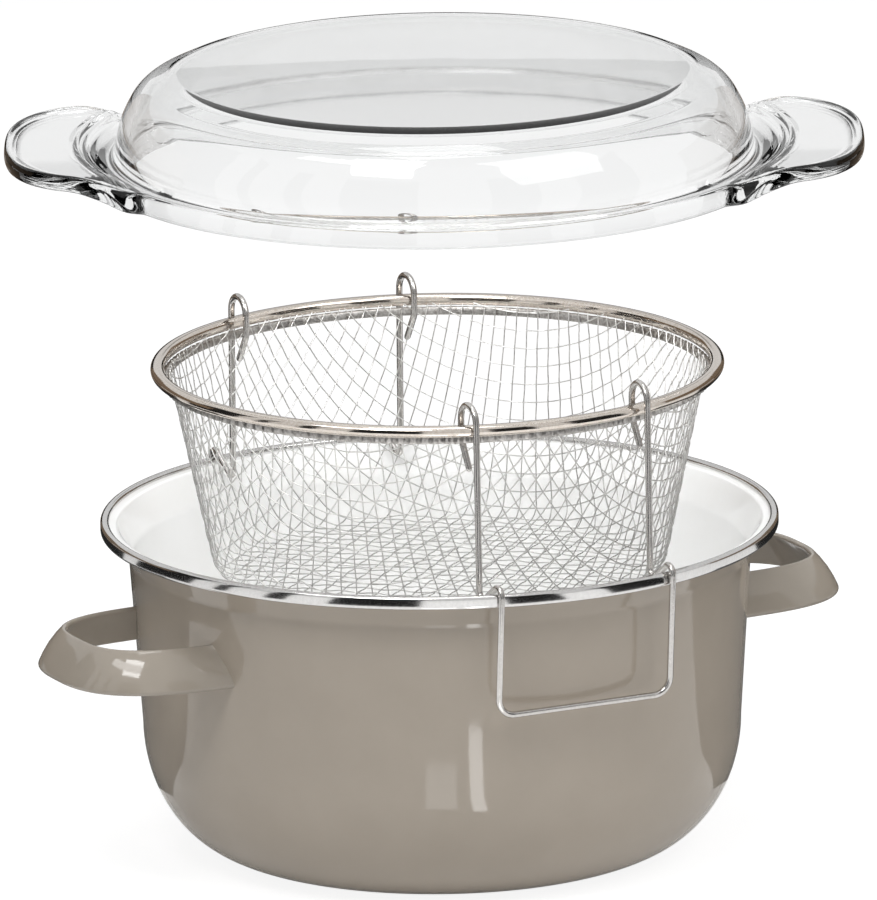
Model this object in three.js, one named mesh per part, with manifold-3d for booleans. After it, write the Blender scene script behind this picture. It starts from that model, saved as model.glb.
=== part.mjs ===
// Deep fryer pot: an enamelled steel pot, a wire frying basket that hangs raised on the pot's rim by two
// bent wire handles, and a pressed glass lid held clear above them.
// Millimetres, +Z up, origin at the centre of the pot's base. -Y is the front and +X is the right.
import * as THREE from 'three';
import { mergeVertices } from 'three/addons/utils/BufferGeometryUtils.js';
import Module from 'manifold-3d';

const wasm = await Module();
wasm.setup();

// Clearance between touching pieces
const seatGap = 0.3;

// Facets of round pieces
const roundSides = 48;
const wireSides = 8;
const bendStep = Math.PI / 7;

// Rolled band on the pot's edge
const bandRadius = 135;
const bandWidth = 3.5;
const bandHeight = 5.2;
const bandGrip = 1.6;
const bandRounding = 1.2;

// Pot, whose wall lies inside the band
const potHeight = 134.5;
const sheetThickness = 1.6;
const baseThickness = 2.2;
const wallInset = 11.1;
const wallTaper = 4.6;
const cornerReach = 40.9;
const cornerRise = 52;
const cornerSteps = 8;
const ledgeDrop = 14.5;
const ledgeCurve = 6;

// Loop handles on the pot: a slanted strap whose lower edge lies farther out than its upper edge
const handleHeight = 95.5;
const handleReach = 40.6;
const handleHalfWidth = 39.5;
const handleSquareness = 2.9;
const handleSteps = 28;
const strapRise = 15.7;
const strapFlare = 10.5;
const strapThickness = 2.6;
const strapRounding = 0.8;

// Basket ring inside the band, with the clamp band and the mesh inside the ring
const basketRise = 61;
const ringInset = 21;
const ringWidth = 5.5;
const ringHeight = 4.5;
const clampInset = 4.4;
const clampHeight = 3;
const meshInset = 6.5;
const meshSlope = 0.211;
const meshDepth = 84;
const meshCorner = 10;
const meshThickness = 1;
const meshColumns = 24;
const meshRows = 4;
const meshBar = 3.4;
const meshHem = 8;
const floorPitch = 15;

// Wire handles of the basket
const wireRadius = 1.3;
const legSpacing = 75;
const hookPlay = 3.1;
const legPlay = 1.84;
const eyeRise = 10.2;
const tipLean = THREE.MathUtils.degToRad(32);
const tipLength = 12.4;
const tipBend = 4;
const legLean = 1;
const veeDrop = 7.4;
const veeBend = 3;
const gripLean = 4.7;
const gripDrop = 49.5;
const gripBend = 7;
const slotHalfWidth = 3.4;
const slotTopRoom = 2.4;
const slotDepth = 8.5;

// Glass lid, whose flange covers the band, with heights from the underside of the flange
const lidTurn = THREE.MathUtils.degToRad(-26);
const lidRise = 139.4;
const flangeInset = 1.6;
const flangeWidth = 6.2;
const flangeHeight = 8;
const flangeRounding = 1.6;
const domeTaper = 2.8;
const domeWallHeight = 23;
const shoulderReach = 20.9;
const creaseHeight = 40.6;
const lidHeight = 43;
const glassThickness = 5;
const tabLength = 37;
const tabRoot = 15.4;
const tabHalfWidth = 66;
const tabThickness = 5.5;
const tabRootHeight = 6.2;
const tabTipHeight = 12.8;
const tabSquareness = 2.7;
const tabSteps = 20;

// Corners joined by arcs: straight runs between the given points, with an arc of the given radius at each
function roundedPath(corners) {
  const points = [];
  corners.forEach((corner, index) => {
    if (!corner.radius) {
      points.push(corner.at.clone());
      return;
    }
    const before = corners[index - 1].at.clone().sub(corner.at).normalize();
    const after = corners[index + 1].at.clone().sub(corner.at).normalize();
    const halfAngle = before.angleTo(after) / 2;
    const middle = before.clone().add(after).normalize();
    const centre = corner.at.clone().addScaledVector(middle, corner.radius / Math.sin(halfAngle));
    const reach = corner.radius / Math.tan(halfAngle);
    const start = corner.at.clone().addScaledVector(before, reach).sub(centre);
    const end = corner.at.clone().addScaledVector(after, reach).sub(centre);
    const sweep = Math.PI - 2 * halfAngle;
    const steps = Math.max(1, Math.ceil(sweep / bendStep));
    for (let step = 0; step <= steps; step += 1) {
      const angle = sweep * step / steps;
      const point = centre.clone();
      point.addScaledVector(start, Math.sin(sweep - angle) / Math.sin(sweep));
      point.addScaledVector(end, Math.sin(angle) / Math.sin(sweep));
      points.push(point);
    }
  });
  return points.filter((point, index) => index === 0 || point.distanceTo(points[index - 1]) > 0.01);
}

// A curve that passes through listed points, with a section at each of them and nowhere else
class BentPath extends THREE.Curve {
  constructor(points) {
    super();
    this.points = points;
  }

  getPointAt(share) {
    return this.points[Math.round(share * (this.points.length - 1))].clone();
  }

  getTangentAt(share) {
    const index = Math.round(share * (this.points.length - 1));
    const here = this.points[index];
    const tangent = new THREE.Vector3();
    if (index > 0) {
      tangent.add(here.clone().sub(this.points[index - 1]).normalize());
    }
    if (index < this.points.length - 1) {
      tangent.add(this.points[index + 1].clone().sub(here).normalize());
    }
    return tangent.normalize();
  }
}

function sweep(section, points) {
  const options = { steps: points.length - 1, bevelEnabled: false, extrudePath: new BentPath(points) };
  return new THREE.ExtrudeGeometry(section, options);
}

// A profile of [radius, height] pairs turned round the Z axis
function turned(profile) {
  const points = profile.map(([radius, height]) => new THREE.Vector2(Math.max(radius, 0), height));
  return new THREE.LatheGeometry(points, roundSides).rotateX(Math.PI / 2);
}

// The same for a ring, whose profile closes on itself
function turnedRing(profile) {
  return turned([...profile, profile[0]]);
}

// Only shared positions, with the collapsed triangles at the axis left out
function welded(geometry) {
  const plain = geometry.clone();
  plain.deleteAttribute('normal');
  plain.deleteAttribute('uv');
  const merged = mergeVertices(plain, 1e-4);
  const source = merged.index.array;
  const kept = [];
  for (let first = 0; first < source.length; first += 3) {
    const [a, b, c] = [source[first], source[first + 1], source[first + 2]];
    if (a !== b && b !== c && c !== a) {
      kept.push(a, b, c);
    }
  }
  merged.setIndex(kept);
  return merged;
}

function solid(geometry) {
  const merged = welded(geometry);
  const vertProperties = new Float32Array(merged.attributes.position.array);
  const triVerts = new Uint32Array(merged.index.array);
  return new wasm.Manifold(new wasm.Mesh({ numProp: 3, vertProperties, triVerts }));
}

function solidGeometry(body) {
  const mesh = body.getMesh();
  const geometry = new THREE.BufferGeometry();
  geometry.setAttribute('position', new THREE.BufferAttribute(new Float32Array(mesh.vertProperties), 3));
  geometry.setIndex(Array.from(mesh.triVerts));
  geometry.computeVertexNormals();
  return geometry;
}

function piece(name, geometry, material, group) {
  const mesh = new THREE.Mesh(geometry, material);
  mesh.name = name;
  group.add(mesh);
  return mesh;
}

function finish(color, roughness, metalness) {
  return new THREE.MeshStandardMaterial({ color, roughness, metalness });
}

// Half of a superellipse, from one side of its root line round to the other side
function roundedTab(length, halfWidth, squareness, steps) {
  const points = [];
  for (let step = 0; step <= steps; step += 1) {
    const angle = Math.PI * (0.5 - step / steps);
    const along = Math.abs(Math.cos(angle)) ** (2 / squareness);
    const across = Math.sign(Math.sin(angle)) * Math.abs(Math.sin(angle)) ** (2 / squareness);
    points.push([length * along, halfWidth * across]);
  }
  return points;
}

// Radius of the pot's outer wall at a height above the rounded foot
const wallTopRadius = bandRadius - wallInset;
const wallFootRadius = wallTopRadius - wallTaper;
const wallTopHeight = potHeight - ledgeDrop;
function wallRadius(height) {
  const share = (height - cornerRise) / (wallTopHeight - cornerRise);
  return wallFootRadius + share * (wallTopRadius - wallFootRadius);
}

// The pot is one pressed sheet: flat base, elliptical corner, tapered wall, flared ledge and a flat edge
const edgeMiddle = potHeight - bandHeight / 2;
const edgeReach = bandRadius - bandGrip - seatGap;
const ledgeReach = bandRadius - bandWidth - sheetThickness;
function potOutline(inset, floor, edgeHeight) {
  const outline = [[0, floor]];
  for (let step = 0; step <= cornerSteps; step += 1) {
    const angle = Math.PI / 2 * step / cornerSteps;
    const radius = wallFootRadius - cornerReach + (cornerReach - inset) * Math.sin(angle);
    outline.push([radius, floor + (cornerRise - floor) * (1 - Math.cos(angle))]);
  }
  const bend = roundedPath([
    { at: new THREE.Vector3(wallFootRadius - inset, cornerRise, 0) },
    { at: new THREE.Vector3(wallTopRadius - inset, wallTopHeight, 0), radius: ledgeCurve },
    { at: new THREE.Vector3(ledgeReach - inset, edgeHeight, 0), radius: sheetThickness },
    { at: new THREE.Vector3(edgeReach, edgeHeight, 0) },
  ]);
  bend.slice(1).forEach((point) => outline.push([point.x, point.y]));
  return outline;
}
const potOutside = potOutline(0, 0, edgeMiddle - sheetThickness / 2);
const potInside = potOutline(sheetThickness, baseThickness, edgeMiddle + sheetThickness / 2);
const potGeometry = turned([...potOutside, ...potInside.reverse()]);

// The band is a rolled channel: its groove grips the pot's flat edge
const bandInner = bandRadius - bandWidth;
const grooveHalf = sheetThickness / 2 + seatGap;
const bandGeometry = turnedRing([
  [bandInner, potHeight - bandHeight],
  [bandRadius - bandRounding, potHeight - bandHeight],
  [bandRadius, potHeight - bandHeight + bandRounding],
  [bandRadius, potHeight - bandRounding],
  [bandRadius - bandRounding, potHeight],
  [bandInner + bandRounding / 2, potHeight],
  [bandInner, potHeight - bandRounding / 2],
  [bandInner, edgeMiddle + grooveHalf],
  [bandRadius - bandGrip, edgeMiddle + grooveHalf],
  [bandRadius - bandGrip, edgeMiddle - grooveHalf],
  [bandInner, edgeMiddle - grooveHalf],
]);

// Loop handle: a slanted strap bent into a rounded loop and cut to the wall. Its section is drawn with
// x down and y outward.
function handleSection() {
  const length = Math.hypot(strapRise, strapFlare);
  const lean = Math.atan2(strapFlare, strapRise);
  const end = length / 2;
  const face = strapThickness / 2;
  const corners = [
    [-end, face - strapRounding],
    [-end, strapRounding - face],
    [strapRounding - end, -face],
    [end - strapRounding, -face],
    [end, strapRounding - face],
    [end, face - strapRounding],
    [end - strapRounding, face],
    [strapRounding - end, face],
  ];
  const centre = new THREE.Vector2(0, 0);
  return new THREE.Shape(corners.map(([x, y]) => new THREE.Vector2(x, y).rotateAround(centre, lean)));
}

function potHandle() {
  const root = wallFootRadius - strapFlare;
  const length = wallTopRadius + handleReach - root;
  const loop = roundedTab(length, handleHalfWidth, handleSquareness, handleSteps);
  const path = loop.map(([x, y]) => new THREE.Vector3(root + x, y, handleHeight));
  const low = handleHeight - strapRise;
  const high = handleHeight + strapRise;
  const wall = turned([
    [0, low],
    [wallRadius(low) + seatGap, low],
    [wallRadius(high) + seatGap, high],
    [0, high],
  ]);
  return solidGeometry(solid(sweep(handleSection(), path)).subtract(solid(wall)));
}

// Basket ring and the clamp band under it
const ringRadius = bandRadius - ringInset;
const clampRadius = ringRadius - clampInset;
const meshTopRadius = ringRadius - meshInset;
const ringCentre = potHeight + basketRise;
const ringLow = ringCentre - ringHeight / 2;
const ringHigh = ringCentre + ringHeight / 2;
const ringInner = ringRadius - ringWidth;
const ringRounding = ringHeight / 3;
const ringGeometry = turnedRing([
  [ringInner + ringRounding, ringLow],
  [ringRadius - ringRounding, ringLow],
  [ringRadius, ringLow + ringRounding],
  [ringRadius, ringHigh - ringRounding],
  [ringRadius - ringRounding, ringHigh],
  [ringInner + ringRounding, ringHigh],
  [ringInner, ringHigh - ringRounding],
  [ringInner, ringLow + ringRounding],
]);

function meshRadius(height) {
  return meshTopRadius - meshSlope * (ringCentre - height);
}
const clampHigh = ringLow - seatGap;
const clampLow = clampHigh - clampHeight;
const clampGeometry = turnedRing([
  [meshRadius(clampLow) + seatGap, clampLow],
  [clampRadius, clampLow],
  [clampRadius, clampHigh],
  [meshRadius(clampHigh) + seatGap, clampHigh],
]);

// Wire handle, in a plane through the ring: u is the distance from the basket's axis, along -Y
const legOffset = legSpacing / 2;
function chord(radius) {
  return Math.sqrt(radius * radius - legOffset * legOffset);
}
const wireSeat = wireRadius + seatGap;
const hookReach = chord(ringInner) - wireRadius - hookPlay;
const legReach = chord(ringRadius) + wireRadius + legPlay;
const seatReach = chord(meshRadius(clampLow) + seatGap);
const tipStart = clampLow - (wireSeat - (seatReach - hookReach) * Math.cos(tipLean)) / Math.sin(tipLean);
const eyeTop = ringCentre + eyeRise;
const veeReach = legReach + legLean;
const veeHeight = potHeight - veeDrop;
const bandReach = chord(bandInner);
const bandAway = Math.hypot(bandReach - veeReach, potHeight - veeHeight);
const veeClimb = Math.atan2(potHeight - veeHeight, bandReach - veeReach) + Math.asin(wireSeat / bandAway);
const crestReach = chord(bandRadius) + wireSeat + gripLean / 5;
const crestHeight = veeHeight + (crestReach - veeReach) * Math.tan(veeClimb);
const gripHeight = potHeight - gripDrop;

function wireHandle() {
  const eyeRadius = (legReach - hookReach) / 2;
  const tipReach = hookReach + tipLength * Math.sin(tipLean);
  const tipHeight = tipStart - tipLength * Math.cos(tipLean);
  const stations = [
    [tipReach, tipHeight, 0],
    [hookReach, tipStart, tipBend],
    [hookReach, eyeTop, eyeRadius],
    [legReach, eyeTop, eyeRadius],
    [veeReach, veeHeight, veeBend],
    [crestReach, crestHeight, bandWidth],
    [crestReach - gripLean, gripHeight, gripBend],
  ];
  const side = (sign) => stations.map(([reach, height, radius]) => {
    return { at: new THREE.Vector3(sign * legOffset, -reach, height), radius };
  });
  const path = roundedPath([...side(1), ...side(-1).reverse()]);
  const circle = new THREE.Shape();
  circle.absarc(0, 0, wireRadius, 0, 2 * Math.PI);
  return sweep(new THREE.Shape(circle.getPoints(wireSides).slice(0, wireSides)), path);
}

// Mesh basket: a thin tapered cup with a plain grid of openings, four of them for the hook tips
function meshOutline(inset) {
  const floor = ringCentre - meshDepth + inset;
  const side = inset * Math.hypot(1, meshSlope);
  return roundedPath([
    { at: new THREE.Vector3(0, floor, 0) },
    { at: new THREE.Vector3(meshRadius(floor) - side, floor, 0), radius: meshCorner - inset },
    { at: new THREE.Vector3(meshRadius(ringCentre) - side, ringCentre, 0) },
  ]).map((point) => [point.x, point.y]);
}

function opening(width, depth, height, x, y, z, turn) {
  const box = new THREE.BoxGeometry(width, depth, height);
  box.translate(x, y, z);
  box.rotateZ(turn);
  return solid(box);
}

function wallOpenings() {
  const low = ringCentre - meshDepth + meshCorner;
  const pitch = (ringCentre - meshHem - low) / meshRows;
  const openings = [];
  for (let row = 0; row < meshRows; row += 1) {
    const height = low + pitch * (row + 0.5);
    const radius = meshRadius(height);
    const width = 2 * Math.PI * radius / meshColumns - meshBar;
    const depth = 2 * pitch * meshSlope + 4 * meshThickness;
    for (let column = 0; column < meshColumns; column += 1) {
      const turn = 2 * Math.PI * (column + 0.5) / meshColumns;
      openings.push(opening(width, depth, pitch - meshBar, 0, -radius, height, turn));
    }
  }
  return openings;
}

function floorOpenings() {
  const floor = ringCentre - meshDepth;
  const rim = meshRadius(floor) - meshCorner;
  const reach = Math.floor(rim / floorPitch);
  const openings = [];
  for (let column = -reach; column < reach; column += 1) {
    for (let row = -reach; row < reach; row += 1) {
      const x = (column + 0.5) * floorPitch;
      const y = (row + 0.5) * floorPitch;
      if (Math.hypot(Math.abs(x) + floorPitch / 2, Math.abs(y) + floorPitch / 2) < rim) {
        openings.push(opening(floorPitch - meshBar, floorPitch - meshBar, 4 * meshThickness, x, y, floor, 0));
      }
    }
  }
  return openings;
}

function hookOpenings() {
  const height = slotTopRoom + slotDepth;
  const depth = 2 * (ringRadius - hookReach);
  const middle = tipStart + slotTopRoom - height / 2;
  const openings = [];
  [1, -1].forEach((front) => {
    [1, -1].forEach((right) => {
      openings.push(opening(2 * slotHalfWidth, depth, height, right * legOffset, -front * hookReach, middle, 0));
    });
  });
  return openings;
}

function basketMesh() {
  const cup = solid(turned([...meshOutline(0), ...meshOutline(meshThickness).reverse()]));
  const openings = [...wallOpenings(), ...floorOpenings(), ...hookOpenings()];
  return solidGeometry(openings.reduce((body, cut) => body.subtract(cut), cup));
}

// Glass lid: flange, dome wall, rounded shoulder and nearly flat top, hollow below, with a tab at each end
const flangeRadius = bandRadius - flangeInset;
const domeFootRadius = flangeRadius - flangeWidth;
const domeWallRadius = domeFootRadius - domeTaper;
const creaseRadius = domeWallRadius - shoulderReach;
function shoulder(inset) {
  const points = [];
  const wall = domeWallRadius - inset;
  const top = creaseHeight - inset;
  for (let step = 0; step <= 6; step += 1) {
    const angle = Math.PI / 2 * step / 6;
    const radius = creaseRadius + (wall - creaseRadius) * Math.cos(angle);
    points.push([radius, domeWallHeight + (top - domeWallHeight) * Math.sin(angle)]);
  }
  return points;
}

function lidTab(sign) {
  const length = tabLength + tabRoot;
  const outline = roundedTab(length, tabHalfWidth, tabSquareness, tabSteps);
  const shape = new THREE.Shape(outline.map(([x, y]) => new THREE.Vector2(x, y)));
  const slab = new THREE.ExtrudeGeometry(shape, { depth: tabThickness, bevelEnabled: false });
  slab.translate(0, 0, -tabThickness / 2);
  slab.rotateY(-Math.atan2(tabTipHeight - tabRootHeight, length));
  slab.translate(flangeRadius - tabRoot, 0, tabRootHeight);
  if (sign < 0) {
    slab.rotateZ(Math.PI);
  }
  return solid(slab);
}

function glassLid() {
  const outside = turned([
    [0, 0],
    [flangeRadius - flangeRounding, 0],
    [flangeRadius, flangeRounding],
    [flangeRadius, flangeHeight - flangeRounding],
    [flangeRadius - flangeRounding, flangeHeight],
    [domeFootRadius, flangeHeight + flangeRounding],
    ...shoulder(0),
    [0, lidHeight],
  ]);
  const hollow = turned([
    [0, -glassThickness],
    [domeFootRadius - glassThickness, -glassThickness],
    [domeFootRadius - glassThickness, flangeHeight],
    ...shoulder(glassThickness),
    [0, lidHeight - glassThickness],
  ]);
  const body = solid(outside).add(lidTab(1)).add(lidTab(-1));
  return solidGeometry(body.subtract(solid(hollow)));
}

// Assembly
const enamel = finish(0x9c9489, 0.25, 0.1);
const bright = finish(0xc9c6c2, 0.15, 0.9);
const wire = finish(0xb4b0aa, 0.3, 0.9);
const glass = finish(0xe4ecea, 0.05, 0);

const fryer = new THREE.Group();
piece('pot_body', welded(potGeometry), enamel, fryer);
piece('pot_rim_band', welded(bandGeometry), bright, fryer);
piece('right_pot_handle', potHandle(), enamel, fryer);
piece('left_pot_handle', potHandle(), enamel, fryer).rotation.z = Math.PI;

const basket = new THREE.Group();
fryer.add(basket);
piece('basket_rim', welded(ringGeometry), bright, basket);
piece('mesh_clamp_band', welded(clampGeometry), bright, basket);
piece('basket_mesh', basketMesh(), wire, basket);
piece('front_wire_handle', welded(wireHandle()), wire, basket);
piece('rear_wire_handle', welded(wireHandle()), wire, basket).rotation.z = Math.PI;

const lid = new THREE.Group();
lid.position.z = potHeight + lidRise;
lid.rotation.z = lidTurn;
fryer.add(lid);
piece('glass_lid', glassLid(), glass, lid);

export default fryer;
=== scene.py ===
# %% [markdown]
# # A deep fryer pot, its frying basket and its glass lid
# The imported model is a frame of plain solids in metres. This lesson dresses each solid with a finer surface,
# worked out as whole arrays of points, and keeps every piece where the frame has it.

# %% Load the frame
import math
import bmesh
import bpy
import numpy as np
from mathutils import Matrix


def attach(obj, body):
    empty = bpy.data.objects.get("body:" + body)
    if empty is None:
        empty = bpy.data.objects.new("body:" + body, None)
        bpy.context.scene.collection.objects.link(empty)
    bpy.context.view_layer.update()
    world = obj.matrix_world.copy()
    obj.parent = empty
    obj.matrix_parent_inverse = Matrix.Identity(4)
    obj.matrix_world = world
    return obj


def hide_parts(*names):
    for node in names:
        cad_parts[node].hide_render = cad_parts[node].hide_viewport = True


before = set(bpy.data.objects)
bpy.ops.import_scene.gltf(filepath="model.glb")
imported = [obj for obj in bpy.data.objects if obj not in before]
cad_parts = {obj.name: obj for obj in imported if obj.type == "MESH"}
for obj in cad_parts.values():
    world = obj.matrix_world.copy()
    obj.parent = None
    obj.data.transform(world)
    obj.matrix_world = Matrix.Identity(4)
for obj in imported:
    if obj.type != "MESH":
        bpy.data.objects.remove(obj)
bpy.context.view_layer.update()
MM = 0.001

# %% [markdown]
# ## The camera
# The photograph looks a little down on the pot from far away, so a long lens keeps the ellipses nearly
# alike from the base to the lid. Camera and target are kept as plain numbers: direction, distance and lens.

# %% Camera at the photograph's view
VIEW_AZIMUTH = math.radians(-26)
VIEW_ELEVATION = math.radians(14)
VIEW_ROLL = math.radians(-0.8)
VIEW_DISTANCE = 8
VIEW_TARGET = np.array([0, 0, 0.1605])
LENS = 804.8
SENSOR = 36
FARTHEST = 50


def aim_camera():
    """Stand on a sphere round the target, look at it, then roll about the line of sight."""
    out = np.array([
        math.sin(VIEW_AZIMUTH) * math.cos(VIEW_ELEVATION),
        -math.cos(VIEW_AZIMUTH) * math.cos(VIEW_ELEVATION),
        math.sin(VIEW_ELEVATION),
    ])
    data = bpy.data.cameras.new("photo_camera")
    data.lens = LENS
    data.sensor_width = SENSOR
    data.clip_end = FARTHEST
    camera = bpy.data.objects.new("photo_camera", data)
    bpy.context.collection.objects.link(camera)
    camera.rotation_mode = "XYZ"
    camera.location = VIEW_TARGET + VIEW_DISTANCE * out
    camera.rotation_euler = (math.pi / 2 - VIEW_ELEVATION, 0, VIEW_AZIMUTH)
    camera.rotation_euler.rotate_axis("Z", VIEW_ROLL)
    bpy.context.scene.camera = camera
    return camera


camera = aim_camera()
bpy.context.scene.view_settings.view_transform = "Standard"
print("camera at", [round(v, 3) for v in camera.location])

# %% [markdown]
# ## Helpers for the shapes
# Nearly all cookware is a profile carried round an axis or along a path. `rounded` draws a profile or a path
# with arcs at its corners, `turned` carries a profile round the Z axis, and `grid_faces` joins the points of
# a grid with four-sided faces.

# %% Profiles and grids
ROUND_SIDES = 192
SHORTEST_STEP = 1e-3


def rounded(corners, degrees=6):
    """Straight runs joined by arcs: each corner is (point, radius), and an arc is a blend of its two ends."""
    spots = [np.array(point, float) for point, _ in corners]
    points = []
    for index, (_, radius) in enumerate(corners):
        here = spots[index]
        if radius == 0:
            points.append(here[None])
            continue
        before = spots[index - 1] - here
        after = spots[(index + 1) % len(spots)] - here
        before /= np.linalg.norm(before)
        after /= np.linalg.norm(after)
        half = math.acos(np.clip(before @ after, -1, 1)) / 2
        middle = (before + after) / np.linalg.norm(before + after)
        centre = here + middle * radius / math.sin(half)
        start = here + before * radius / math.tan(half) - centre
        end = here + after * radius / math.tan(half) - centre
        sweep = math.pi - 2 * half
        angle = np.linspace(0, sweep, max(3, math.ceil(math.degrees(sweep) / degrees)))[:, None]
        points.append(centre + (start * np.sin(sweep - angle) + end * np.sin(angle)) / math.sin(sweep))
    line = np.concatenate(points)
    keep = np.r_[True, np.linalg.norm(np.diff(line, axis=0), axis=1) > SHORTEST_STEP]
    return line[keep]


def grid_faces(rows, columns, wrap_rows, wrap_columns):
    """Four-sided faces of a grid of points, joined round where it wraps."""
    row = np.arange(rows if wrap_rows else rows - 1)[:, None]
    column = np.arange(columns if wrap_columns else columns - 1)[None]
    next_row = (row + 1) % rows
    next_column = (column + 1) % columns
    faces = [row * columns + column, next_row * columns + column,
             next_row * columns + next_column, row * columns + next_column]
    return np.stack(faces, -1).reshape(-1, 4)


def turned(profile, sides=ROUND_SIDES):
    """Carry (radius, height) round Z: x = r cos a, y = r sin a, z = h."""
    profile = np.asarray(profile, float)
    angle = np.linspace(0, 2 * math.pi, sides, endpoint=False)[:, None]
    height = np.broadcast_to(profile[:, 1], (sides, len(profile)))
    points = np.stack([np.cos(angle) * profile[:, 0], np.sin(angle) * profile[:, 0], height], -1)
    return points, profile


def turn_about_z(points, degrees):
    """Turn points about the Z axis."""
    angle = math.radians(degrees)
    turn = np.array([
        [math.cos(angle), math.sin(angle), 0],
        [-math.sin(angle), math.cos(angle), 0],
        [0, 0, 1],
    ])
    return points @ turn


# %% [markdown]
# ## From arrays to a piece
# A mesh takes whole arrays at once, without a loop over its points. The sign of the volume that the faces
# enclose tells whether they point outwards. Poles and seams are then welded, and the piece rides on its body
# in place of its solid.

# %% Pieces
WELD_GAP = 1e-7
SMALLEST_EDGE = 1e-8
SHARP_ANGLE = 40


def make_piece(name, points, faces, body, nodes, material, sharp=SHARP_ANGLE):
    """Put corners in millimetres and faces into a mesh that faces outwards, and ride it on its body."""
    points = np.asarray(points, float).reshape(-1, 3)
    a, b, c, d = (points[faces[:, k]] for k in range(4))
    volume = np.einsum("ij,ij->", a, np.cross(b, c)) + np.einsum("ij,ij->", a, np.cross(c, d))
    if volume < 0:
        faces = faces[:, ::-1]
    mesh = bpy.data.meshes.new(name)
    mesh.vertices.add(len(points))
    mesh.vertices.foreach_set("co", (points * MM).ravel())
    mesh.loops.add(faces.size)
    mesh.loops.foreach_set("vertex_index", np.ascontiguousarray(faces).ravel())
    mesh.polygons.add(len(faces))
    mesh.polygons.foreach_set("loop_start", np.arange(0, faces.size, 4))
    mesh.update(calc_edges=True)
    work = bmesh.new()
    work.from_mesh(mesh)
    bmesh.ops.remove_doubles(work, verts=work.verts, dist=WELD_GAP)
    bmesh.ops.dissolve_degenerate(work, edges=work.edges, dist=SMALLEST_EDGE)
    work.to_mesh(mesh)
    work.free()
    mesh.polygons.foreach_set("use_smooth", np.ones(len(mesh.polygons), bool))
    mesh.set_sharp_from_angle(angle=math.radians(sharp))
    mesh.materials.append(material)
    piece = bpy.data.objects.new(name, mesh)
    bpy.context.collection.objects.link(piece)
    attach(piece, body)
    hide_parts(*nodes)
    print(f"{name}: {len(mesh.polygons)} faces")
    return piece


# %% [markdown]
# ## Helpers for the finishes
# Each finish is a Principled shader with a little detail on Object coordinates: noise, a bump that follows
# it, and two colours spread over it. A noise is given by its bumps per metre and its detail.

# %% Finish helpers
RAMP_START = 0.35
RAMP_STOP = 0.65


def blank_finish(name):
    """A material with its shader and an Object coordinate to hang detail on."""
    material = bpy.data.materials.new(name)
    material.use_nodes = True
    nodes = material.node_tree.nodes
    links = material.node_tree.links
    return material, nodes, links, nodes["Principled BSDF"], nodes.new("ShaderNodeTexCoord")


def add_noise(nodes, links, place, scale, detail):
    """Noise on Object coordinates, in bumps per metre."""
    noise = nodes.new("ShaderNodeTexNoise")
    noise.inputs["Scale"].default_value = scale
    noise.inputs["Detail"].default_value = detail
    links.new(place.outputs["Object"], noise.inputs["Vector"])
    return noise


def add_bump(nodes, links, height, shader, strength, distance):
    """Turn a height into a bump on the shader, with its distance in metres."""
    bump = nodes.new("ShaderNodeBump")
    bump.inputs["Strength"].default_value = strength
    bump.inputs["Distance"].default_value = distance
    links.new(height, bump.inputs["Height"])
    links.new(bump.outputs["Normal"], shader.inputs["Normal"])


def add_ramp(nodes, links, value, low, high):
    """Two colours spread over a value."""
    ramp = nodes.new("ShaderNodeValToRGB")
    ramp.color_ramp.elements[0].position = RAMP_START
    ramp.color_ramp.elements[1].position = RAMP_STOP
    ramp.color_ramp.elements[0].color = (*low, 1)
    ramp.color_ramp.elements[1].color = (*high, 1)
    links.new(value, ramp.inputs["Fac"])
    return ramp


# %% [markdown]
# ## Enamel
# Enamel is glass fired onto the steel. It is glossy, with a fine orange peel and faint mottling. The pot's
# lining is white, and a number stored in its mesh says where that colour shows.

# %% Enamel
MOTTLE = (30, 4)
PEEL = (160, 2)
PEEL_BUMP = (0.06, 0.0004)
ENAMEL_ROUGHNESS = 0.07


def enamel_finish(name, low, high, lining_low=None, lining_high=None):
    """Glossy fired enamel; where the mesh has a lining attribute, the lining's colour shows there."""
    material, nodes, links, shader, place = blank_finish(name)
    mottle = add_noise(nodes, links, place, *MOTTLE)
    colour = add_ramp(nodes, links, mottle.outputs["Fac"], low, high).outputs["Color"]
    if lining_low:
        lining = add_ramp(nodes, links, mottle.outputs["Fac"], lining_low, lining_high)
        where = nodes.new("ShaderNodeAttribute")
        where.attribute_name = "lining"
        mix = nodes.new("ShaderNodeMix")
        mix.data_type = "RGBA"
        links.new(where.outputs["Fac"], mix.inputs["Factor"])
        links.new(colour, mix.inputs["A"])
        links.new(lining.outputs["Color"], mix.inputs["B"])
        colour = mix.outputs["Result"]
    links.new(colour, shader.inputs["Base Color"])
    shader.inputs["Roughness"].default_value = ENAMEL_ROUGHNESS
    peel = add_noise(nodes, links, place, *PEEL)
    add_bump(nodes, links, peel.outputs["Fac"], shader, *PEEL_BUMP)
    return material


grey_enamel = enamel_finish("grey_enamel_white_lining", (0.318, 0.277, 0.228), (0.336, 0.293, 0.242),
                            (0.86, 0.86, 0.85), (0.89, 0.89, 0.885))
handle_enamel = enamel_finish("grey_handle_enamel", (0.295, 0.262, 0.22), (0.313, 0.278, 0.234))
print("enamels:", grey_enamel.name, handle_enamel.name)

# %% [markdown]
# ## Plated and tinned metal
# Bright metal looks like what it mirrors, so its finish needs only a tint, a gloss and fine rubbing marks.
# Tin is made rougher than plating, which blurs what it mirrors.

# %% Plated and tinned metal
RUB = (900, 4)
RUB_BUMP = (0.02, 0.0001)
RUB_GLOSS = (0.7, 1.4)


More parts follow.
